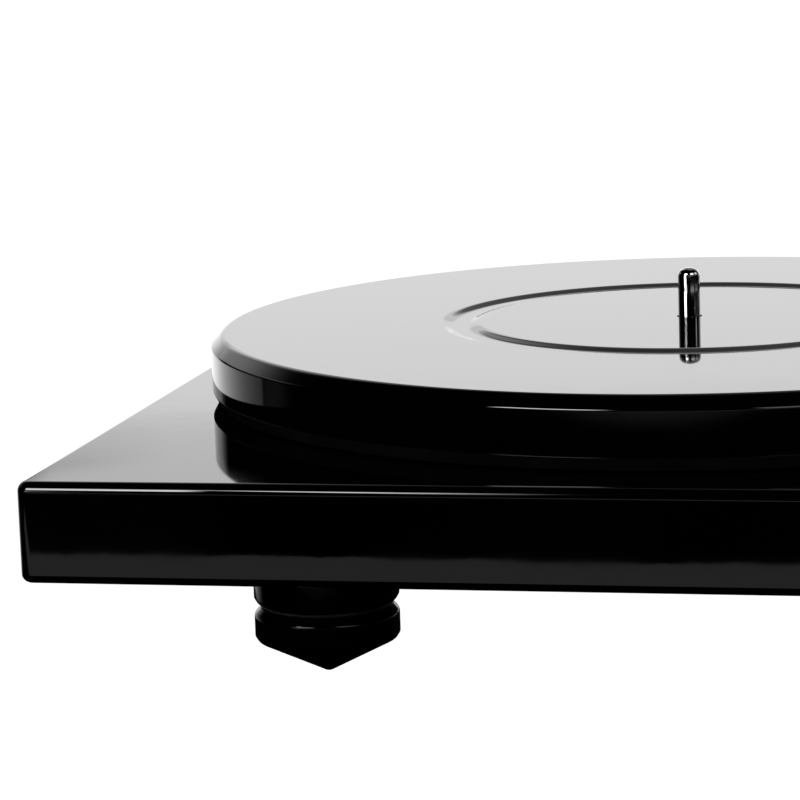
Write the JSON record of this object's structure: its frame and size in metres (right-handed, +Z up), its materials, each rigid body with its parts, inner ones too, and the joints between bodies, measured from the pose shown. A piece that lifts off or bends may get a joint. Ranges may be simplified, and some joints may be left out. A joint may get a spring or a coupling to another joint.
{
  "type": "turntable",
  "caption": "Belt-drive record turntable: gloss black plinth on cone feet, thick bevelled platter with a ringed top, steel spindle, push buttons and a balanced tonearm.",
  "frame": {"origin": "on the surface it stands on, under the centre of the plinth", "axes": "+X to the tonearm side along the plinth's long edge, +Y to the back, +Z up"},
  "size_m": [0.45, 0.345, 0.1124],
  "materials": {
    "black_lacquer": "high-gloss black lacquer over a fibreboard core",
    "black_gloss_platter": "polished black acrylic",
    "sub_platter_plastic": "moulded, satin",
    "bright_steel": "polished",
    "machined_steel": "turned, fine tool marks",
    "zinc_steel": "zinc plated",
    "coated_steel": "fine texture powder coat",
    "satin_aluminium": "satin, turned",
    "black_anodised": "black anodised, satin",
    "brass": "turned",
    "bronze": "sintered bronze",
    "foot_black": "glossy black anodised",
    "damper_rubber": "matt",
    "belt_rubber": "ground flat",
    "cable_rubber": "satin",
    "black_plastic": "moulded, fine grain",
    "circuit_board": "solder mask"
  },
  "bodies": {
    "root": {"plinth": "black_lacquer", "base_plate": "coated_steel", "base_screw_1": "zinc_steel", "base_screw_2": "zinc_steel", "base_screw_3": "zinc_steel", "base_screw_4": "zinc_steel", "bearing_housing": "satin_aluminium", "bearing_ring_nut": "machined_steel", "bearing_end_cap": "brass", "thrust_pad": "black_plastic", "thrust_ball": "bright_steel", "bearing_bush": "bronze", "drive_belt": "belt_rubber", "motor_can": "machined_steel", "motor_plate": "zinc_steel", "motor_screw_1": "machined_steel", "motor_screw_2": "machined_steel", "control_board": "circuit_board", "power_bezel": "satin_aluminium", "speed_bezel": "satin_aluminium", "motor_lead": "cable_rubber", "terminal_panel": "black_plastic", "rca_left": "brass", "rca_right": "brass", "ground_post": "brass", "dc_inlet": "black_plastic", "arm_base": "black_anodised", "arm_pillar": "satin_aluminium", "pillar_collar": "black_anodised", "arm_rest": "black_anodised", "lift_housing": "black_anodised"},
    "platter_assembly": {"platter": "black_gloss_platter", "sub_platter": "sub_platter_plastic", "spindle_shaft": "bright_steel"},
    "motor_rotor": {"motor_shaft": "bright_steel", "motor_pulley": "brass"},
    "power_button": {"power_button": "satin_aluminium"},
    "speed_button": {"speed_button": "satin_aluminium"},
    "arm_carrier": {"arm_yoke": "black_anodised", "pivot_screw_left": "bright_steel", "pivot_screw_right": "bright_steel"},
    "arm_wand": {"arm_block": "black_anodised", "arm_tube": "satin_aluminium", "counterweight_shaft": "machined_steel", "headshell": "black_anodised", "cartridge": "black_plastic", "stylus": "black_plastic"},
    "counterweight": {"counterweight": "machined_steel"},
    "arm_lift": {"lift_bar": "black_anodised"},
    "cue_lever": {"cue_lever": "black_anodised"},
    "anti_skate_knob": {"anti_skate_knob": "satin_aluminium"},
    "foot_front_left": {"foot_cone_front_left": "foot_black", "foot_damper_front_left": "damper_rubber", "foot_upper_front_left": "foot_black"},
    "foot_front_right": {"foot_cone_front_right": "foot_black", "foot_damper_front_right": "damper_rubber", "foot_upper_front_right": "foot_black"},
    "foot_rear": {"foot_cone_rear": "foot_black", "foot_damper_rear": "damper_rubber", "foot_upper_rear": "foot_black"}
  },
  "joints": [
    {"name": "platter_spin", "type": "hinge", "parent": "root", "child": "platter_assembly", "pos_m": [-0.059, -0.003, 0.0588], "axis": [0, 0, 1], "continuous": true},
    {"name": "motor_spin", "type": "hinge", "parent": "root", "child": "motor_rotor", "pos_m": [-0.1191, 0.0571, 0.0588], "axis": [0, 0, 1], "continuous": true},
    {"name": "power_press", "type": "slide", "parent": "root", "child": "power_button", "axis": [0, 0, -1], "range_m": [0, 0.0015], "stiffness_N_per_m": 250},
    {"name": "speed_press", "type": "slide", "parent": "root", "child": "speed_button", "axis": [0, 0, -1], "range_m": [0, 0.0015], "stiffness_N_per_m": 250},
    {"name": "arm_swing", "type": "hinge", "parent": "root", "child": "arm_carrier", "pos_m": [0.131, 0.097, 0.0999], "axis": [0, 0, 1], "range_deg": [-48.5, 0]},
    {"name": "arm_tilt", "type": "hinge", "parent": "arm_carrier", "child": "arm_wand", "pos_m": [0.131, 0.097, 0.0999], "axis": [-1, 0, 0], "range_deg": [0, 12]},
    {"name": "counterweight_slide", "type": "slide", "parent": "arm_wand", "child": "counterweight", "axis": [0, 1, 0], "range_m": [-0.012, 0.005]},
    {"name": "cue_lever_turn", "type": "hinge", "parent": "root", "child": "cue_lever", "pos_m": [0.148, 0.06756, 0.0704], "axis": [-1, 0, 0], "range_deg": [0, 55]},
    {"name": "lift_rise", "type": "slide", "parent": "root", "child": "arm_lift", "axis": [0, 0, 1], "range_m": [0, 0.003]},
    {"name": "anti_skate_turn", "type": "hinge", "parent": "root", "child": "anti_skate_knob", "pos_m": [0.155, 0.105, 0.0641], "axis": [0, 0, 1], "range_deg": [-270, 0]},
    {"name": "foot_front_left_level", "type": "slide", "parent": "root", "child": "foot_front_left", "axis": [0, 0, 1], "range_m": [-0.006, 0]},
    {"name": "foot_front_right_level", "type": "slide", "parent": "root", "child": "foot_front_right", "axis": [0, 0, 1], "range_m": [-0.006, 0]},
    {"name": "foot_rear_level", "type": "slide", "parent": "root", "child": "foot_rear", "axis": [0, 0, 1], "range_m": [-0.006, 0]}
  ],
  "couplings": [
    {"joint": "motor_spin", "follows": "platter_spin", "ratio": 7.5},
    {"joint": "lift_rise", "follows": "cue_lever_turn", "m_per_rad": 0.0031}
  ]
}
